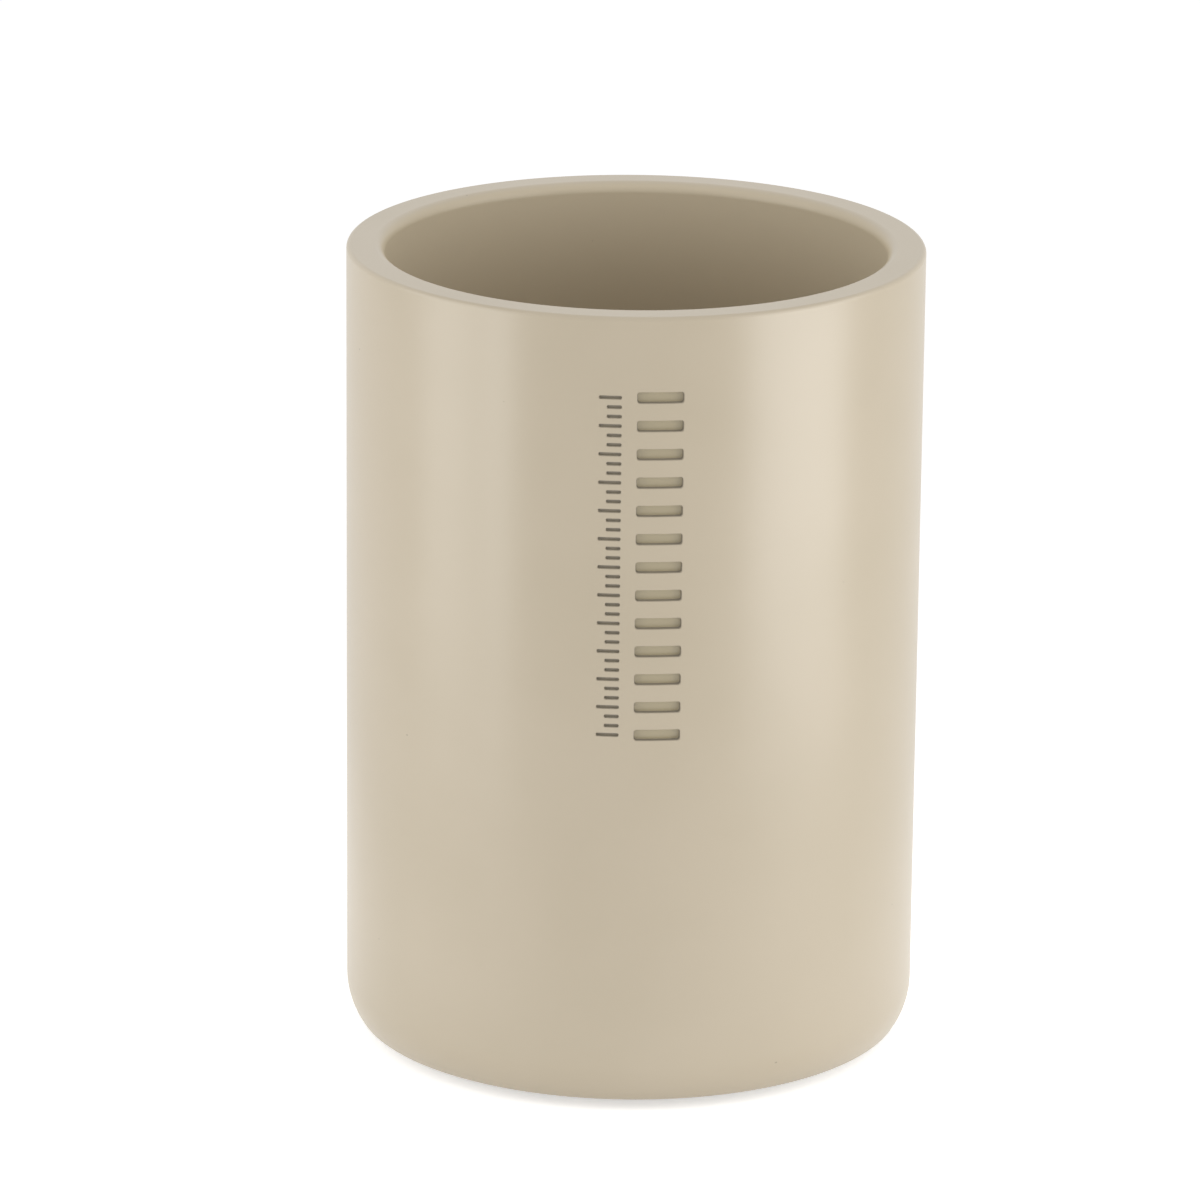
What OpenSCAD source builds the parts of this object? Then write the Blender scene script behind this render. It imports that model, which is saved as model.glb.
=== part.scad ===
// Bathroom tumbler: a thick-walled cup cast in filled resin, with a row of
// engraved graduation marks on its front, standing on four foam pads that are
// held to its ground sole by discs of adhesive film.
// Millimetres. +Z is up, the marks face -Y, and the origin is the centre of
// the circle on the shelf that the pads stand on.

/* [Cup] */
// Outer diameter at the rim
rim_d = 74; // [66:0.5:90]
// Height of the casting, from its sole to its rim
cup_h = 103.5; // [90:0.5:140]
// Wall thickness at the rim
rim_wall = 4.9; // [4:0.1:8]
// Draft of the outer wall: how much narrower each side is at the foot
wall_draft = 0.1; // [0:0.1:1.5]
// Radius of the outer edge of the rim
rim_outer_r = 0.6; // [0.3:0.1:1.2]
// Radius of the inner edge of the rim
rim_inner_r = 1.4; // [1:0.1:3.5]

/* [Foot] */
// Radius of the rounding at the foot, which the ground sole cuts short
foot_r = 9; // [7:0.5:14]
// Height of that rounding's centre above the sole
foot_arc_z = 5.5; // [4:0.1:6.5]
// Radius of the broken edge around the sole
sole_edge_r = 1.2; // [0.5:0.1:1.8]

/* [Cavity] */
// Thickness of the floor of the cup
floor_t = 8; // [5:0.5:12]
// Draft of the cavity: how much narrower each side is at the floor
cavity_draft = 0.6; // [0.3:0.1:2]
// Radius between the floor and the wall of the cavity
cavity_fillet_r = 9; // [4:0.5:14]

/* [Engraved marks] */
// Distance from the rim down to the edge of the topmost mark
marks_drop = 9.5; // [5:0.5:30]
// Number of bars
bar_count = 13; // [5:1:18]
// Distance from one bar to the next
bar_pitch = 3.65; // [2.6:0.05:5]
// Length of a bar around the wall
bar_l = 5.9; // [3:0.1:12]
// Height of a bar's stroke
bar_w = 1.5; // [0.8:0.1:2.2]
// Radius of a bar's corners
bar_corner_r = 0.35; // [0.1:0.05:0.7]
// Depth of a bar
bar_depth = 0.8; // [0.3:0.1:1.5]
// Ticks to each bar
ticks_per_bar = 3; // [1:1:4]
// Length of the tick that lies beside a bar
long_tick_l = 2.9; // [2:0.1:6]
// Length of the ticks between the bars
short_tick_l = 1.9; // [1:0.1:4]
// Height of a tick's stroke
tick_w = 0.5; // [0.3:0.05:0.8]
// Depth of a tick
tick_depth = 0.5; // [0.2:0.1:1]
// Gap between the bars and the ticks
column_gap = 1.86; // [1:0.1:6]

/* [Foot pads] */
// Diameter of a pad
pad_d = 10; // [6:0.5:18]
// Thickness of a pad
pad_t = 1.3; // [0.8:0.1:3]
// Diameter of the circle through the pads' centres
pad_ring_d = 46; // [30:1:56]
// How far the edge of the adhesive film lies inside the pad's edge
film_margin = 0.2; // [0.1:0.05:1.5]
// Thickness of the adhesive film
film_t = 0.2; // [0.1:0.05:0.4]

/* [Hidden] */
pad_count = 4;               // pads, each with its own disc of film
PAD_NODES = [for (kind = ["foot_film_", "foot_pad_"], i = [1 : pad_count]) str(kind, i)];
$fn = 96;

film_d = pad_d - 2 * film_margin;
sole_z = pad_t + film_t;     // height of the ground sole above the shelf
over = 1;                    // how far a cut runs past the faces it opens

resin = [0.76, 0.71, 0.63];
foam = [0.17, 0.17, 0.17];
film = [0.86, 0.85, 0.80];

right = [1, 0];
up = [0, 1];

// Outer wall: circle centres of the roundings at rim and foot, and the ends of
// the straight wall between them.
rim_edge_c = [rim_d / 2 - rim_outer_r, cup_h - rim_outer_r];
foot_c = [rim_d / 2 - wall_draft - foot_r, foot_arc_z];
wall_top = rim_edge_c + rim_outer_r * right;
wall_foot = foot_c + foot_r * right;

// The sole's broken edge touches the foot rounding from inside.
edge_drop = foot_arc_z - sole_edge_r;
edge_reach = foot_r - sole_edge_r;
sole_edge_c = [foot_c.x + sqrt(edge_reach * edge_reach - edge_drop * edge_drop),
               sole_edge_r];
edge_dir = (sole_edge_c - foot_c) / edge_reach;

// Cavity: circle centres of the lip and of the fillet at the floor, and the
// ends of the straight wall between them.
lip_c = [rim_d / 2 - rim_wall + rim_inner_r, cup_h - rim_inner_r];
fillet_c = [rim_d / 2 - rim_wall - cavity_draft - cavity_fillet_r,
            floor_t + cavity_fillet_r];
cavity_top = lip_c - rim_inner_r * right;
cavity_foot = fillet_c + cavity_fillet_r * right;

// Engraved marks: they run down from the topmost bar, and the two columns
// together are centred on the front.
marks_l = bar_l + column_gap + long_tick_l;
bar_u = marks_l / 2 - bar_l / 2;
tick_right_u = marks_l / 2 - bar_l - column_gap;
tick_pitch = bar_pitch / ticks_per_bar;
tick_count = (bar_count - 1) * ticks_per_bar + 1;
top_bar_z = cup_h - marks_drop - bar_w / 2;

// The slice of a circle that lies between two directions from its centre.
module slice(centre, r, from, to) {
    intersection() {
        translate(centre) circle(r = r);
        polygon([centre, centre + 2 * r * from, centre + 2 * r * to]);
    }
}

// Half outline of the solid cup, without its cavity.
module cup_outline() {
    polygon([[0, 0], [sole_edge_c.x, 0], sole_edge_c, foot_c, wall_foot,
             wall_top, rim_edge_c, [rim_edge_c.x, cup_h], [0, cup_h]]);
    slice(sole_edge_c, sole_edge_r, -up, edge_dir);
    slice(foot_c, foot_r, edge_dir, right);
    slice(rim_edge_c, rim_outer_r, right, up);
}

// Half outline of the cavity, with the lip's rounding left standing.
module cavity_outline() {
    difference() {
        polygon([[0, floor_t], [fillet_c.x, floor_t], fillet_c, cavity_foot,
                 cavity_top, lip_c, [lip_c.x, cup_h + over], [0, cup_h + over]]);
        slice(lip_c, rim_inner_r, up, -right);
    }
    slice(fillet_c, cavity_fillet_r, -up, right);
}

// The straight part of the outer wall, taken `depth` into it.
module wall_core(depth) {
    rotate_extrude()
        polygon([[0, wall_foot.y], wall_foot - [depth, 0],
                 wall_top - [depth, 0], [0, wall_top.y]]);
}

// A flat stroke with round corners, centred on its own middle.
module stroke(length, width, corner_r) {
    square([length - 2 * corner_r, width], center = true);
    square([length, width - 2 * corner_r], center = true);
    for (x = [-1, 1], y = [-1, 1])
        translate([x * (length / 2 - corner_r), y * (width / 2 - corner_r)])
            circle(r = corner_r, $fn = 24);
}

// A flat stroke with fully round ends, centred on its own middle.
module slot(length, width) {
    square([length - width, width], center = true);
    for (x = [-1, 1])
        translate([x * (length - width) / 2, 0]) circle(d = width, $fn = 24);
}

// Stands a flat shape up against the front wall, `u` millimetres around it,
// so that it reaches past `depth` at any height of the wall.
module on_wall(u, z, depth) {
    rotate([0, 0, u / (rim_d / 2) * 180 / PI])
        translate([0, 0, z])
            rotate([90, 0, 0])
                translate([0, 0, rim_d / 2 - wall_draft - depth - over])
                    linear_extrude(wall_draft + depth + 2 * over) children();
}

module bars() {
    difference() {
        for (i = [0 : bar_count - 1])
            on_wall(bar_u, top_bar_z - i * bar_pitch, bar_depth)
                stroke(bar_l, bar_w, bar_corner_r);
        wall_core(bar_depth);
    }
}

module ticks() {
    difference() {
        for (i = [0 : tick_count - 1]) {
            tick_l = i % ticks_per_bar == 0 ? long_tick_l : short_tick_l;
            on_wall(tick_right_u - tick_l / 2, top_bar_z - i * tick_pitch, tick_depth)
                slot(tick_l, tick_w);
        }
        wall_core(tick_depth);
    }
}

module cup_body() {
    color(resin) translate([0, 0, sole_z]) difference() {
        rotate_extrude() cup_outline();
        rotate_extrude() cavity_outline();
        bars();
        ticks();
    }
}

// Puts a piece under the sole at pad number i, counted from 1.
module at_pad(i) {
    rotate([0, 0, (i - 0.5) * 360 / pad_count])
        translate([pad_ring_d / 2, 0, 0]) children();
}

module foot_film(i) {
    color(film) at_pad(i) translate([0, 0, pad_t]) cylinder(d = film_d, h = film_t);
}

module foot_pad(i) {
    color(foam) at_pad(i) cylinder(d = pad_d, h = pad_t);
}

cup_body();
for (i = [1 : pad_count]) {
    foot_film(i);
    foot_pad(i);
}
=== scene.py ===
import math

import bmesh
import bpy
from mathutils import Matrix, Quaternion, Vector


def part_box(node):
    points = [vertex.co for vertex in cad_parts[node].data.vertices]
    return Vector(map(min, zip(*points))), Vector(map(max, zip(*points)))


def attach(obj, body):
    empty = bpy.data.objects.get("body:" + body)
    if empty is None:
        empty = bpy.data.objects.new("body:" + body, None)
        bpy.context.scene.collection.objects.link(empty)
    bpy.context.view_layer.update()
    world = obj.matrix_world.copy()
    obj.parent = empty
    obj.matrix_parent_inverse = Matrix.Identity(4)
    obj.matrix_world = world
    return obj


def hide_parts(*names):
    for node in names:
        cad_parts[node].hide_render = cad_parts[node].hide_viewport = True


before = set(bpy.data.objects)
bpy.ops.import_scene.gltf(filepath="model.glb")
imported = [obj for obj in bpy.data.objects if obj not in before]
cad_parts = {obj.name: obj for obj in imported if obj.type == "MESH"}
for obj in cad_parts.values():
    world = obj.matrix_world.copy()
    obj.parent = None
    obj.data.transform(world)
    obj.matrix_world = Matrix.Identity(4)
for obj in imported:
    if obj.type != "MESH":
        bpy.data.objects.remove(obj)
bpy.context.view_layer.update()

mm = 0.001
up = Vector((0, 0, 1))
weldGap = 0.005 * mm             # points closer than this are merged
planeGap = 0.002 * mm            # points closer than this to a cut lie on it
shadeGap = 0.015 * mm            # points closer than this to a plain surface lie on it
print("frame loaded with", len(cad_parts), "nodes")


class Wire:
    # one output of a shader node; the usual operators add Math nodes to it
    def __init__(self, shader, socket):
        self.shader = shader
        self.socket = socket

    def __getitem__(self, name):
        return Wire(self.shader, self.shader.pick(self.socket.node.outputs, name))

    def __add__(self, other):
        return self.shader.maths("ADD", self, other)

    def __radd__(self, other):
        return self.shader.maths("ADD", other, self)

    def __rsub__(self, other):
        return self.shader.maths("SUBTRACT", other, self)

    def __mul__(self, other):
        return self.shader.maths("MULTIPLY", self, other)

    def __rmul__(self, other):
        return self.shader.maths("MULTIPLY", other, self)

    def __pow__(self, other):
        return self.shader.maths("POWER", self, other)

    def __or__(self, other):
        return self.shader.maths("MAXIMUM", self, other)

    def ramp(self, low, high):
        # 0 at low, 1 at high, eased in between
        return self.shader.node("MapRange", {"interpolation_type": "SMOOTHSTEP"},
                                {"Value": self, "From Min": low, "From Max": high})


class Shader:
    # the nodes of a material or of the world, all made by node()
    def __init__(self, owner):
        self.owner = owner
        owner.use_nodes = True
        self.tree = owner.node_tree
        self.tree.nodes.clear()

    def pick(self, sockets, key):
        if isinstance(key, int):
            return [s for s in sockets if s.enabled][key]
        return next(s for s in sockets if s.enabled and s.name == key)

    def node(self, kind, settings=None, values=None, out=0):
        made = self.tree.nodes.new("ShaderNode" + kind)
        for name, value in (settings or {}).items():
            setattr(made, name, value)
        for key, value in (values or {}).items():
            socket = self.pick(made.inputs, key)
            if isinstance(value, Wire):
                self.tree.links.new(value.socket, socket)
            else:
                socket.default_value = value
        if len(made.outputs):
            return Wire(self, self.pick(made.outputs, out))

    def maths(self, operation, *values):
        return self.node("Math", {"operation": operation}, dict(enumerate(values)))

    def place(self, stretch=(1, 1, 1)):
        spot = self.node("TexCoord", out="Object")
        return self.node("Mapping", values={"Vector": spot, "Scale": stretch})

    def cylinderPlace(self):
        # distance from the cup's axis, and height
        spot = self.node("SeparateXYZ", values={"Vector": self.place()})
        return (spot["X"] * spot["X"] + spot["Y"] * spot["Y"]) ** 0.5, spot["Z"]

    def noise(self, size, detail=2.0, roughness=0.5, stretch=(1, 1, 1)):
        # soft blotches about `size` metres across
        return self.node("TexNoise", values={"Vector": self.place(stretch), "Scale": 1 / size,
                                             "Detail": detail, "Roughness": roughness})

    def cells(self, size, stretch=(1, 1, 1)):
        # distance to the nearest of many points about `size` metres apart, in sizes
        return self.node("TexVoronoi", values={"Vector": self.place(stretch), "Scale": 1 / size},
                         out="Distance")

    def blend(self, mask, first, second):
        return self.node("Mix", {"data_type": "RGBA"}, {"Factor": mask, "A": first, "B": second})

    def bump(self, height, depth, below=None):
        values = {"Height": height, "Distance": depth, "Strength": 1.0}
        if below:
            values["Normal"] = below
        return self.node("Bump", values=values)

    def finish(self, **values):
        named = {name.replace("_", " "): value for name, value in values.items()}
        surface = self.node("BsdfPrincipled", values=named)
        self.node("OutputMaterial", values={"Surface": surface})
        return self.owner


def newShader(name):
    return Shader(bpy.data.materials.new(name))


def paint(red, green, blue):
    # a screen colour, 0 to 255, as the linear colour that a socket takes
    def linear(c):
        c = c / 255
        return c / 12.92 if c <= 0.04045 else ((c + 0.055) / 1.055) ** 2.4
    return (linear(red), linear(green), linear(blue), 1.0)


def addToScene(name, data):
    made = bpy.data.objects.new(name, data)
    bpy.context.scene.collection.objects.link(made)
    return made


def makeMesh(name, bm, material):
    mesh = bpy.data.meshes.new(name)
    bm.to_mesh(mesh)
    bm.free()
    mesh.materials.append(material)
    return mesh


def becomePiece(name, bm, material, shading=None):
    print(name, len(bm.faces), "faces,", sum(not e.is_manifold for e in bm.edges), "open edges")
    mesh = makeMesh(name, bm, material)
    mesh.shade_smooth()
    if shading:
        mesh.normals_split_custom_set_from_vertices([shading(v) for v in mesh.vertices])
    piece = addToScene(name, mesh)
    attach(piece, "root")
    return piece


# the cast cup
cup = {
    "rimWall": 4.9 * mm,         # wall thickness at the rim
    "wallDraft": 0.1 * mm,       # how much narrower each side is at the foot
    "rimOuterRound": 0.6 * mm,
    "rimInnerRound": 1.4 * mm,
    "footRound": 9 * mm,
    "footArcHeight": 5.5 * mm,   # centre of the foot rounding above the sole
    "soleRound": 1.2 * mm,
    "floorThickness": 8 * mm,
    "cavityDraft": 0.6 * mm,
    "cavityRound": 9 * mm,
    "column": 0.8 * mm,          # width of a mesh column around the wall
    "ring": 4 * mm,              # height of a mesh ring up the wall
    "arcStep": 7,                # degrees between the rings of a rounding
    "plainShare": 0.75,          # share of that step within which a normal counts as plain
}

# the graduation engraved on its front
marks = {
    "drop": 9.5 * mm,            # rim down to the edge of the topmost bar
    "barCount": 13,
    "barPitch": 3.65 * mm,
    "barLength": 5.9 * mm,
    "barWidth": 1.5 * mm,
    "ticksPerBar": 3,
    "longTick": 2.9 * mm,
    "shortTick": 1.9 * mm,
    "tickWidth": 0.5 * mm,
    "columnGap": 1.86 * mm,
    "margin": 1.2 * mm,          # plain wall kept in the fine mesh round the marks
    "sideLimit": 0.6,            # how far a side may face out of the wall, from 0 to 1
    "cornerAngle": 50,           # degrees past which two sides meet in a corner
    "cornerSteps": 4,
    "edgeSteps": 2,
}
barCut = {
    "depth": 0.80 * mm,
    "lean": 0.10 * mm,           # how far its sides lean in
    "cornerRound": 0.35 * mm,
    "edge": 0.10 * mm,           # widest bevel on its edges, which clamping makes narrower
}
tickCut = {
    "depth": 0.50 * mm,
    "lean": 0.05 * mm,
    "cornerRound": 0.24 * mm,
    "edge": 0.06 * mm,
}

cupLow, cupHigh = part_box("cup_body")
sole = cupLow.z
rimRadius = cupHigh.x
rimHeight = cupHigh.z
wallLow = sole + cup["footArcHeight"]
wallHigh = rimHeight - cup["rimOuterRound"]


def wallRadius(z):
    # outer radius of the straight wall at a height
    return rimRadius - cup["wallDraft"] * (wallHigh - z) / (wallHigh - wallLow)


def penLine(bm, tip, x, z, steps=1):
    # draws a straight stretch of outline from the tip
    start = tip.co.copy()
    end = Vector((x, 0, z))
    for i in range(steps):
        tip = bmesh.ops.extrude_vert_indiv(bm, verts=[tip])["verts"][0]
        tip.co = start.lerp(end, (i + 1) / steps)
    return tip


def penArc(bm, tip, x, z, degrees):
    # swings the tip about a centre, anticlockwise as seen from the front
    steps = math.ceil(abs(degrees) / cup["arcStep"])
    swung = bmesh.ops.spin(bm, geom=[tip], cent=(x, 0, z), axis=(0, -1, 0), dvec=(0, 0, 0),
                           angle=math.radians(degrees), steps=steps, use_duplicate=False)
    return next(g for g in swung["geom_last"] if isinstance(g, bmesh.types.BMVert))


def drawOutline(bm, bottom, top):
    # half of the cup's section, from the middle of the sole round to the cavity's floor;
    # the outer wall has no rings between bottom and top, where the marks are cut
    footX = rimRadius - cup["wallDraft"] - cup["footRound"]
    edgeDrop = cup["footArcHeight"] - cup["soleRound"]
    edgeReach = cup["footRound"] - cup["soleRound"]
    edgeX = footX + math.sqrt(edgeReach ** 2 - edgeDrop ** 2)
    edgeTurn = math.degrees(math.asin(edgeDrop / edgeReach))
    lipX = rimRadius - cup["rimWall"] + cup["rimInnerRound"]
    cavityHigh = rimHeight - cup["rimInnerRound"]
    cornerX = rimRadius - cup["rimWall"] - cup["cavityDraft"] - cup["cavityRound"]
    floor = sole + cup["floorThickness"]
    rings = round((wallHigh - wallLow) / cup["ring"])

    tip = penLine(bm, bm.verts.new((0, 0, sole)), edgeX, sole, round(edgeX / cup["ring"]))
    tip = penArc(bm, tip, edgeX, sole + cup["soleRound"], 90 - edgeTurn)
    tip = penArc(bm, tip, footX, wallLow, edgeTurn)
    tip = penLine(bm, tip, wallRadius(bottom), bottom, round((bottom - wallLow) / cup["ring"]))
    tip = penLine(bm, tip, wallRadius(top), top)
    tip = penLine(bm, tip, rimRadius, wallHigh, round((wallHigh - top) / cup["ring"]))
    tip = penArc(bm, tip, rimRadius - cup["rimOuterRound"], wallHigh, 90)
    tip = penLine(bm, tip, lipX, rimHeight)
    tip = penArc(bm, tip, lipX, cavityHigh, 90)
    tip = penLine(bm, tip, cornerX + cup["cavityRound"], floor + cup["cavityRound"], rings)
    tip = penArc(bm, tip, cornerX, floor + cup["cavityRound"], -90)
    penLine(bm, tip, 0, floor, round(cornerX / cup["ring"]))


def markBoxes():
    # the two columns of marks, as boxes (left, right, bottom, top) on the unrolled front
    half = (marks["barLength"] + marks["columnGap"] + marks["longTick"]) / 2
    barLeft = half - marks["barLength"]
    tickRight = barLeft - marks["columnGap"]
    topBar = rimHeight - marks["drop"] - marks["barWidth"] / 2
    bars = []
    for i in range(marks["barCount"]):
        z = topBar - i * marks["barPitch"]
        bars.append((barLeft, half, z - marks["barWidth"] / 2, z + marks["barWidth"] / 2))
    ticks = []
    for i in range((marks["barCount"] - 1) * marks["ticksPerBar"] + 1):
        z = topBar - i * marks["barPitch"] / marks["ticksPerBar"]
        length = marks["shortTick"] if i % marks["ticksPerBar"] else marks["longTick"]
        ticks.append((tickRight - length, tickRight,
                      z - marks["tickWidth"] / 2, z + marks["tickWidth"] / 2))
    return bars, ticks


def weldSpin(bm):
    # closes a spun shape at its seam and on its axis, and turns its faces outwards
    bmesh.ops.remove_doubles(bm, verts=bm.verts, dist=weldGap)
    bmesh.ops.recalc_face_normals(bm, faces=bm.faces)


def spinRound(bm, stations):
    # spins the outline about the cup's axis, with a mesh column at every station
    geom = bm.verts[:] + bm.edges[:]
    for start, end in zip(stations, stations[1:]):
        steps = max(1, round((end - start) / cup["column"]))
        geom = bmesh.ops.spin(bm, geom=geom, cent=(0, 0, 0), axis=up, dvec=(0, 0, 0),
                              angle=(end - start) / rimRadius, steps=steps,
                              use_duplicate=False)["geom_last"]
    weldSpin(bm)


def around(co):
    # distance around the wall from the middle of the front
    return math.atan2(co.x, -co.y) * rimRadius


def inOuterHalf(co):
    # whether a point lies nearer to the wall's outside than to its inside
    return co.xy.length > rimRadius - cup["rimWall"] / 2


def onFront(co, left, right):
    # whether a point of the straight wall lies outside, in one stretch of the front
    return inOuterHalf(co) and co.y < 0 and wallLow < co.z < wallHigh and left < around(co) < right


def cutLevels(bm, boxes, left, right):
    # a mesh line at the top and bottom of each box, in one stretch of the front
    faces = {f for f in bm.faces if onFront(f.calc_center_median(), left, right)}
    for level in sorted({z for box in boxes for z in box[2:]}):
        crossed = [f for f in faces if f.is_valid
                   and min(v.co.z for v in f.verts) < level < max(v.co.z for v in f.verts)]
        parts = {e for f in crossed for e in f.edges} | {v for f in crossed for v in f.verts}
        cut = bmesh.ops.bisect_plane(bm, geom=crossed + list(parts), dist=planeGap,
                                     plane_co=(0, 0, level), plane_no=up)
        faces |= {g for g in cut["geom"] if isinstance(g, bmesh.types.BMFace)}


def isSide(face):
    # a side of an engraved mark stands across the wall
    outward = face.calc_center_median()
    outward.z = 0
    return abs(face.normal.dot(outward.normalized())) < marks["sideLimit"]


def roundEdges(bm, edges, offset, steps):
    # clamp_overlap narrows the whole bevel where some of its edges are short
    bmesh.ops.bevel(bm, geom=edges, offset=offset, offset_type="OFFSET", segments=steps,
                    profile=0.5, affect="EDGES", material=-1, clamp_overlap=True)
    bm.normal_update()


def engrave(bm, boxes, cut):
    # sinks the boxes into the front, rounds their corners, and parts their sides from the
    # wall and the floor by a narrow bevel, so that the shading turns sharply there
    left = min(box[0] for box in boxes)
    right = max(box[1] for box in boxes)
    cutLevels(bm, boxes, left, right)
    pocket = []
    for face in bm.faces:
        middle = face.calc_center_median()
        if onFront(middle, left, right):
            u = around(middle)
            if any(b[0] < u < b[1] and b[2] < middle.z < b[3] for b in boxes):
                pocket.append(face)
    sides = bmesh.ops.inset_region(bm, faces=pocket, thickness=cut["lean"], depth=-cut["depth"],
                                   use_even_offset=True, use_boundary=True)["faces"]
    bm.normal_update()
    corners = [e for e in {e for f in sides for e in f.edges}
               if len(e.link_faces) == 2 and all(isSide(f) for f in e.link_faces)
               and e.calc_face_angle(0) > math.radians(marks["cornerAngle"])]
    roundEdges(bm, corners, cut["cornerRound"], marks["cornerSteps"])
    rims = []
    for e in bm.edges:
        if len(e.link_faces) == 2 and isSide(e.link_faces[0]) != isSide(e.link_faces[1]):
            if onFront((e.verts[0].co + e.verts[1].co) / 2, left - cut["edge"], right + cut["edge"]):
                rims.append(e)
    roundEdges(bm, rims, cut["edge"], marks["edgeSteps"])


def evenShading(vertex):
    # the wall, the floors of the marks and the flat rings keep the normals of plain
    # surfaces, so that the marks and roundings beside them don't tint them
    co = vertex.co
    outward = Vector((co.x, co.y, 0)).normalized()
    if wallLow - shadeGap < co.z < wallHigh + shadeGap and inOuterHalf(co):
        drop = wallRadius(co.z) - co.xy.length
        if min(abs(drop - depth) for depth in (0, barCut["depth"], tickCut["depth"])) < shadeGap:
            return outward
    for plain in (outward, -outward, up, -up):
        if vertex.normal.dot(plain) > math.cos(math.radians(cup["arcStep"] * cup["plainShare"])):
            return plain
    return vertex.normal


# the cup's resin and lacquer, with painted light and shade on it; a pair of lengths is a stretch over
# which a change fades
resin = {
    "tones": (paint(178, 164, 138), paint(182, 168, 143)),   # cloud to cloud
    "cloud": 24 * mm,
    "cloudFade": (0.3, 0.7),
    "mouth": paint(203, 190, 165),          # painted light inside the rim, fading deeper into the cavity
    "inside": paint(184, 170, 145),         # and deeper in the cavity, itself painted a little lighter than the outside
    # depth over which the painted light inside the rim fades
    "mouthDepth": 18 * mm,
    "lipFade": 1 * mm,                      # between the cavity's colours and the wall's
    "floors": paint(166, 152, 108),         # painted shade in the bars, with lacquer pooled on their floors
    "floorShare": 0.6,
    "floorFrom": (0.70 * mm, 0.82 * mm),    # depth below the wall at which it starts
    "sides": paint(90, 78, 48),             # and painted shade on their sides and in the ticks
    "sideShare": 0.7,
    "sideFrom": (0.15 * mm, 0.45 * mm),     # depths at which it starts and ends
    "sideTo": (0.65 * mm, 0.80 * mm),
    "ground": paint(214, 204, 186),         # bare resin of the sole
    "groundTo": (0.01 * mm, 0.05 * mm),     # height above the sole at which it ends
    "scratch": 0.25 * mm,                   # scratches left by the grinding
    "scratchDetail": (2.0, 0.6),            # detail and roughness of their noise
    "scratchStretch": (1, 0.02, 1),
    "scratchDepth": 0.04 * mm,
    "speck": paint(118, 106, 82),           # dark grains in the cast
    "speckShare": 0.55,
    "speckSpacing": 9 * mm,
    "speckSize": 0.24 * mm,
    "speckCore": 0.6,                       # share of its size that is fully dark
    "speckStretch": (1, 1, 1.6),
    "peel": 1.2 * mm,                       # orange peel of the lacquer
    "peelDetail": 1.0,
    "peelDepth": 0.006 * mm,
    "grain": 0.5 * mm,
    "grainDepth": 0.002 * mm,
    "roughness": 0.40,
    "mottle": 0.04,                         # roughness added by the clouds and by the grain
    "groundRough": 0.30,
    "markRough": 0.10,
    "coatInside": 0.3,                      # the lacquer's weight in the cavity
    "coatOutside": 1.0,
    "coatRoughness": 0.32,
    "coatIor": 2.0,
}


def resinFinish(bottom, top):
    # cast resin under a satin lacquer, bare and scratched where the sole is ground, with painted
    # shade and pooled lacquer in the marks, which lie between bottom and top, and painted light in
    # the cavity
    shader = newShader("satinResin")
    radius, height = shader.cylinderPlace()
    drop = rimRadius - radius
    inWall = 1 - drop.ramp(2 * barCut["depth"], cup["rimWall"] / 2)
    aboveFoot = height.ramp(bottom, bottom + marks["margin"])
    belowRim = 1 - height.ramp(top - marks["margin"], top)
    marked = inWall * belowRim * aboveFoot
    # painted shade in the marks: on the bars' floors, with pooled lacquer, and on their sides and in
    # the ticks
    floors = drop.ramp(*resin["floorFrom"]) * marked
    sides = drop.ramp(*resin["sideFrom"]) * (1 - drop.ramp(*resin["sideTo"])) * marked
    ground = 1 - height.ramp(*(sole + z for z in resin["groundTo"]))
    outside = 1 - drop.ramp(cup["rimWall"] - resin["lipFade"], cup["rimWall"])
    # painted light in the cavity, strongest at the rim
    mouth = height.ramp(rimHeight - resin["mouthDepth"], rimHeight)

    cloud = shader.noise(resin["cloud"])
    grain = shader.noise(resin["grain"])
    peel = shader.noise(resin["peel"], resin["peelDetail"])
    scratch = shader.noise(resin["scratch"], *resin["scratchDetail"], resin["scratchStretch"])
    speckEdge = resin["speckSize"] / resin["speckSpacing"]
    speckCells = shader.cells(resin["speckSpacing"], resin["speckStretch"])
    specks = 1 - speckCells.ramp(resin["speckCore"] * speckEdge, speckEdge)

    tone = shader.blend(cloud.ramp(*resin["cloudFade"]), *resin["tones"])
    # the cavity's colours, painted lighter towards the rim as light falling in over it
    tone = shader.blend(outside, shader.blend(mouth, resin["inside"], resin["mouth"]), tone)
    # the marks darkened: painted shade, and pooled lacquer on the bars' floors
    tone = shader.blend(floors * resin["floorShare"], tone, resin["floors"])
    tone = shader.blend(sides * resin["sideShare"], tone, resin["sides"])
    tone = shader.blend(ground, tone, resin["ground"])
    tone = shader.blend(specks * resin["speckShare"], tone, resin["speck"])
    rough = resin["roughness"] + resin["mottle"] * (cloud + grain)
    rough = rough + resin["groundRough"] * ground + resin["markRough"] * (floors | sides)
    coat = resin["coatInside"] + (resin["coatOutside"] - resin["coatInside"]) * outside
    skin = shader.bump(peel, resin["peelDepth"])
    skin = shader.bump(grain, resin["grainDepth"], skin)
    skin = shader.bump(scratch * ground, resin["scratchDepth"], skin)
    # the lacquer alone mirrors the room
    return shader.finish(Base_Color=tone, Roughness=rough, Normal=skin, Specular_IOR_Level=0.0,
                         Coat_Weight=coat, Coat_Roughness=resin["coatRoughness"],
                         Coat_IOR=resin["coatIor"])


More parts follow.
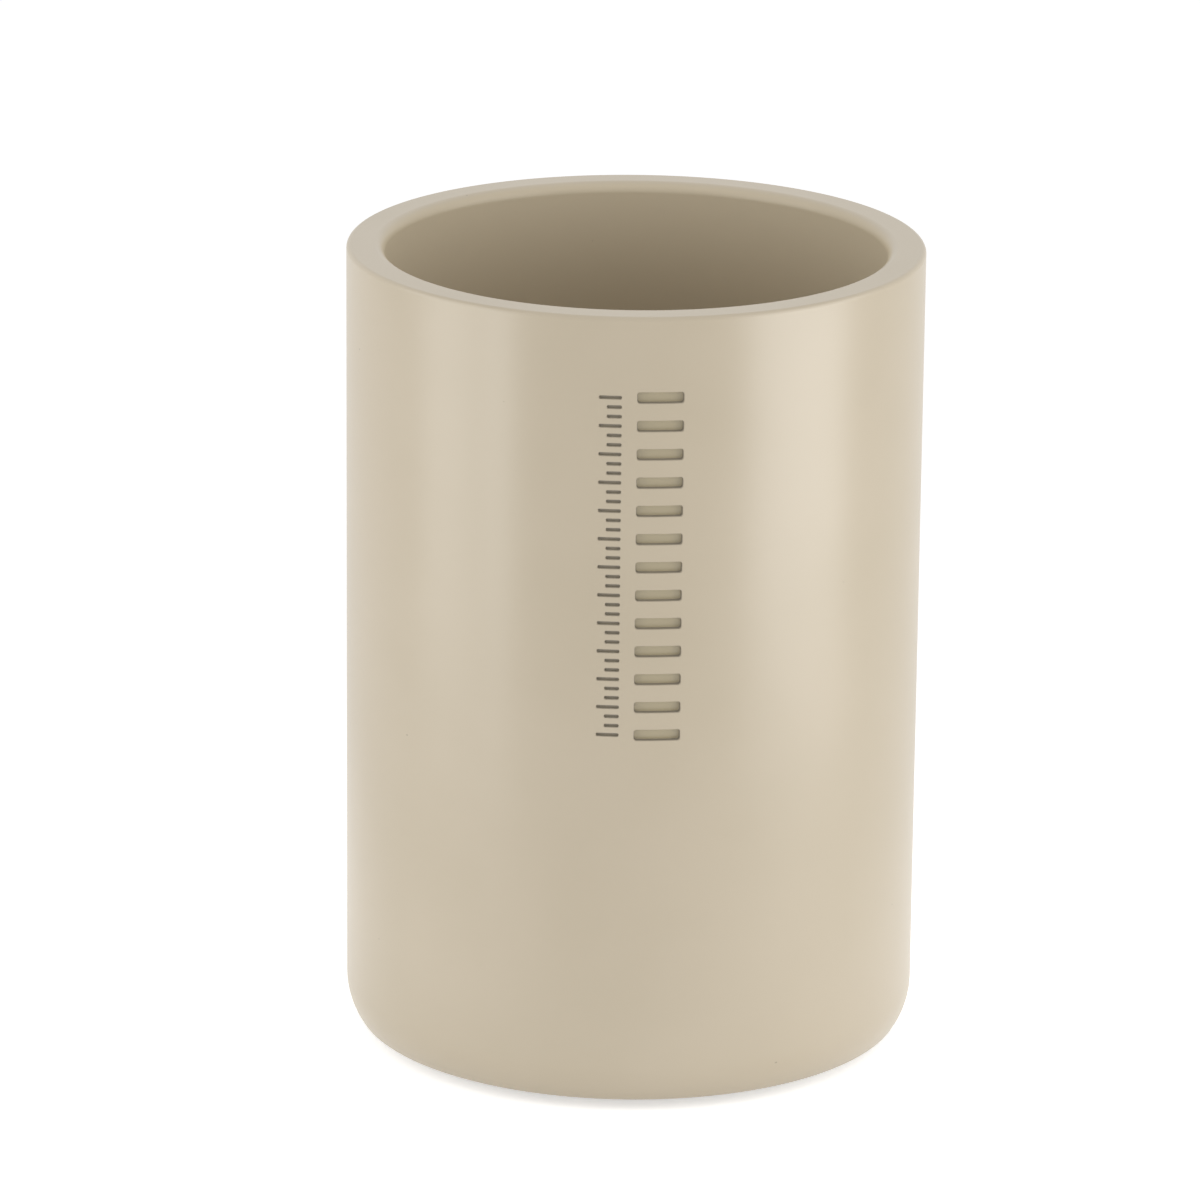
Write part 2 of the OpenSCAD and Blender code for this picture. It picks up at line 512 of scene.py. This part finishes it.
def makeCup():
    # mesh columns stand at every side of the marks, a margin past them, and all round
    bars, ticks = markBoxes()
    sides = {u for box in bars + ticks for u in box[:2]}
    levels = {z for box in bars + ticks for z in box[2:]}
    bottom = min(levels) - marks["margin"]
    top = max(levels) + marks["margin"]
    first = min(sides) - marks["margin"]
    stations = sorted(sides | {first, max(sides) + marks["margin"]})
    stations.append(first + 2 * math.pi * rimRadius)
    bm = bmesh.new()
    drawOutline(bm, bottom, top)
    turn = Quaternion(up, first / rimRadius - math.pi / 2)   # from +X to the first station
    bmesh.ops.rotate(bm, verts=bm.verts, cent=(0, 0, 0), matrix=turn.to_matrix())
    spinRound(bm, stations)
    engrave(bm, bars, barCut)
    engrave(bm, ticks, tickCut)
    piece = becomePiece("cup_casting", bm, resinFinish(bottom, top), evenShading)
    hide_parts("cup_body")


makeCup()


# the die-cut foam pads under the sole
pad = {
    "bulge": 0.10 * mm,          # how far its side swells under the cup's weight
    "edge": 0.12 * mm,           # softened edge of the die cut
    "bulgeSteps": 8,
    "rings": 4,                  # on its top and on its bottom
    "columns": 96,
    "cell": 0.22 * mm,           # size of the foam's cells
    "cellFade": (0.1, 0.6),
    "cellTones": (paint(26, 26, 27), paint(50, 50, 51)),
    "cellDepth": 0.05 * mm,
    "dust": 2.5 * mm,            # size of the dusty patches
    "dustDetail": 3.0,
    "dustFade": (0.55, 0.8),
    "dustTone": paint(84, 82, 78),
    "dustShare": 0.35,
    "roughness": 0.85,
    "dustRough": 0.1,
}


def foamFinish():
    # black closed-cell foam with a little dust on it
    shader = newShader("padFoam")
    cells = shader.cells(pad["cell"])
    dust = shader.noise(pad["dust"], pad["dustDetail"])
    tone = shader.blend(cells.ramp(*pad["cellFade"]), *pad["cellTones"])
    tone = shader.blend(dust.ramp(*pad["dustFade"]) * pad["dustShare"], tone, pad["dustTone"])
    return shader.finish(Base_Color=tone, Roughness=pad["roughness"] + pad["dustRough"] * dust,
                         Normal=shader.bump(cells, pad["cellDepth"]))


def makePad(name, material):
    low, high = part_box(name)
    height = high.z - low.z
    rest = (high.x - low.x) / 2 - pad["bulge"]     # its radius before it swells
    bm = bmesh.new()
    tip = penLine(bm, bm.verts.new((0, 0, 0)), rest - pad["edge"], 0, pad["rings"])
    for i in range(pad["bulgeSteps"] + 1):
        share = i / pad["bulgeSteps"]
        swell = pad["bulge"] * math.sin(math.pi * share)
        tip = penLine(bm, tip, rest + swell, pad["edge"] + (height - 2 * pad["edge"]) * share)
    tip = penLine(bm, tip, rest - pad["edge"], height)
    penLine(bm, tip, 0, height, pad["rings"])
    bmesh.ops.spin(bm, geom=bm.verts[:] + bm.edges[:], cent=(0, 0, 0), axis=up, dvec=(0, 0, 0),
                   angle=2 * math.pi, steps=pad["columns"], use_merge=True, use_duplicate=False)
    weldSpin(bm)
    bmesh.ops.translate(bm, verts=bm.verts, vec=((low.x + high.x) / 2, (low.y + high.y) / 2, low.z))
    piece = becomePiece(name + "_foam", bm, material)
    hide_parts(name)


# the film that holds them
film = {
    "tones": (paint(222, 219, 205), paint(205, 200, 182)),
    "smear": 1.5 * mm,           # size of the smears in its adhesive
    "smearDetail": 3.0,
    "smearFade": (0.35, 0.65),
    "smearDepth": 0.01 * mm,
    "roughness": 0.22,
    "smearRough": 0.2,
}


def filmFinish():
    # pale double-sided film with smears in its adhesive
    shader = newShader("adhesiveFilm")
    smear = shader.noise(film["smear"], film["smearDetail"])
    tone = shader.blend(smear.ramp(*film["smearFade"]), *film["tones"])
    return shader.finish(Base_Color=tone, Roughness=film["roughness"] + film["smearRough"] * smear,
                         Normal=shader.bump(smear, film["smearDepth"]))


padFoam = foamFinish()
adhesiveFilm = filmFinish()
for nodeName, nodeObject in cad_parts.items():
    if nodeName.startswith("foot_pad"):
        makePad(nodeName, padFoam)
    if nodeName.startswith("foot_film"):
        nodeObject.data.materials.clear()
        nodeObject.data.materials.append(adhesiveFilm)
print("pads and films made")


camera = {
    "lens": 240,
    "sensor": 36,
    "distance": 1036 * mm,
    "elevation": 17.12,          # degrees above the horizon
    "azimuth": 1.35,             # degrees that it stands to the left of the marks
    "roll": 0.63,
    "shift": (-0.0268, 0.0258),
    "clipStart": 50 * mm,
}

studio = {
    "floorSize": 6.0,
    "floorColor": (0.95, 0.95, 0.95, 1),
    "floorGlow": 0.24,           # white added where the background is seen
    "nearGlow": 0.26,            # painted light: more of it close to the cup, where it lightens the cup's shadow, also as mirrored in the cup
    "nearReach": (0.06, 0.16),   # radii between which that fades
    "skyColor": (1, 1, 1, 1),
    "skyLight": 0.8,             # strength at which the white room lights things
}

# each softbox: degrees to the right of the camera, distance, width, height of
# its lower and upper edge, and brightness where white paper is 1
softboxes = {
    "right": (64, 0.22, 0.170, 0.002, 0.12, 1.6),
    "rightHigh": (72, 0.30, 0.312, 0.12, 0.36, 0.9),
    "leftEdge": (-51, 0.22, 0.038, 0.002, 0.12, 1.8),
    "left": (-73, 0.22, 0.094, 0.002, 0.12, 1.1),
    "leftHigh": (-73, 0.30, 0.306, 0.12, 0.36, 0.8),
}


def awayFromCup(degrees, elevation):
    # the direction from the cup that lies so many degrees right of the camera, and so many up
    turn = math.radians(degrees - camera["azimuth"])
    lift = math.radians(elevation)
    return Vector((math.sin(turn) * math.cos(lift), -math.cos(turn) * math.cos(lift), math.sin(lift)))


def setCamera():
    data = bpy.data.cameras.new("camera")
    data.lens = camera["lens"]
    data.sensor_width = camera["sensor"]
    data.shift_x, data.shift_y = camera["shift"]
    data.clip_start = camera["clipStart"]
    seen = addToScene("camera", data)
    away = awayFromCup(0, camera["elevation"])
    seen.location = Vector((0, 0, (sole + rimHeight) / 2)) + away * camera["distance"]
    seen.rotation_mode = "QUATERNION"
    roll = Quaternion(up, math.radians(camera["roll"]))
    seen.rotation_quaternion = away.to_track_quat("Z", "Y") @ roll
    bpy.context.scene.camera = seen


def backgroundSeen(shader):
    # 1 for the rays that show the background: straight, mirrored or refracted
    rays = shader.node("LightPath")
    return rays["Is Camera Ray"] | rays["Is Glossy Ray"] | rays["Is Transmission Ray"]


def makeFloor():
    shader = newShader("paleFloor")
    matt = shader.node("BsdfDiffuse", values={"Color": studio["floorColor"]})
    radius = shader.cylinderPlace()[0]
    # painted light that lifts the cup's shadow on the floor
    near = 1 - radius.ramp(*studio["nearReach"])
    strength = backgroundSeen(shader) * (studio["floorGlow"] + studio["nearGlow"] * near)
    glow = shader.node("Emission", values={"Strength": strength})
    both = shader.node("AddShader", values={0: matt, 1: glow})
    shader.node("OutputMaterial", values={"Surface": both})
    bm = bmesh.new()
    bmesh.ops.create_grid(bm, x_segments=1, y_segments=1, size=studio["floorSize"] / 2)
    addToScene("floor", makeMesh("floor", bm, shader.owner))


def lightRoom():
    world = bpy.data.worlds.new("studio")
    bpy.context.scene.world = world
    shader = Shader(world)
    strength = backgroundSeen(shader) | studio["skyLight"]
    sky = shader.node("Background", values={"Color": studio["skyColor"], "Strength": strength})
    shader.node("OutputWorld", values={"Surface": sky})

    for name, (degrees, distance, width, bottom, top, brightness) in softboxes.items():
        data = bpy.data.lights.new(name, "AREA")
        data.shape = "RECTANGLE"
        data.size = width
        data.size_y = top - bottom
        data.energy = brightness * math.pi * data.size * data.size_y
        lamp = addToScene(name, data)
        away = awayFromCup(degrees, 0)
        lamp.location = away * distance + Vector((0, 0, (bottom + top) / 2))
        lamp.rotation_euler = away.to_track_quat("Z", "Y").to_euler()
    bpy.context.scene.view_settings.view_transform = "Standard"


setCamera()
makeFloor()
lightRoom()
print("camera and studio set")
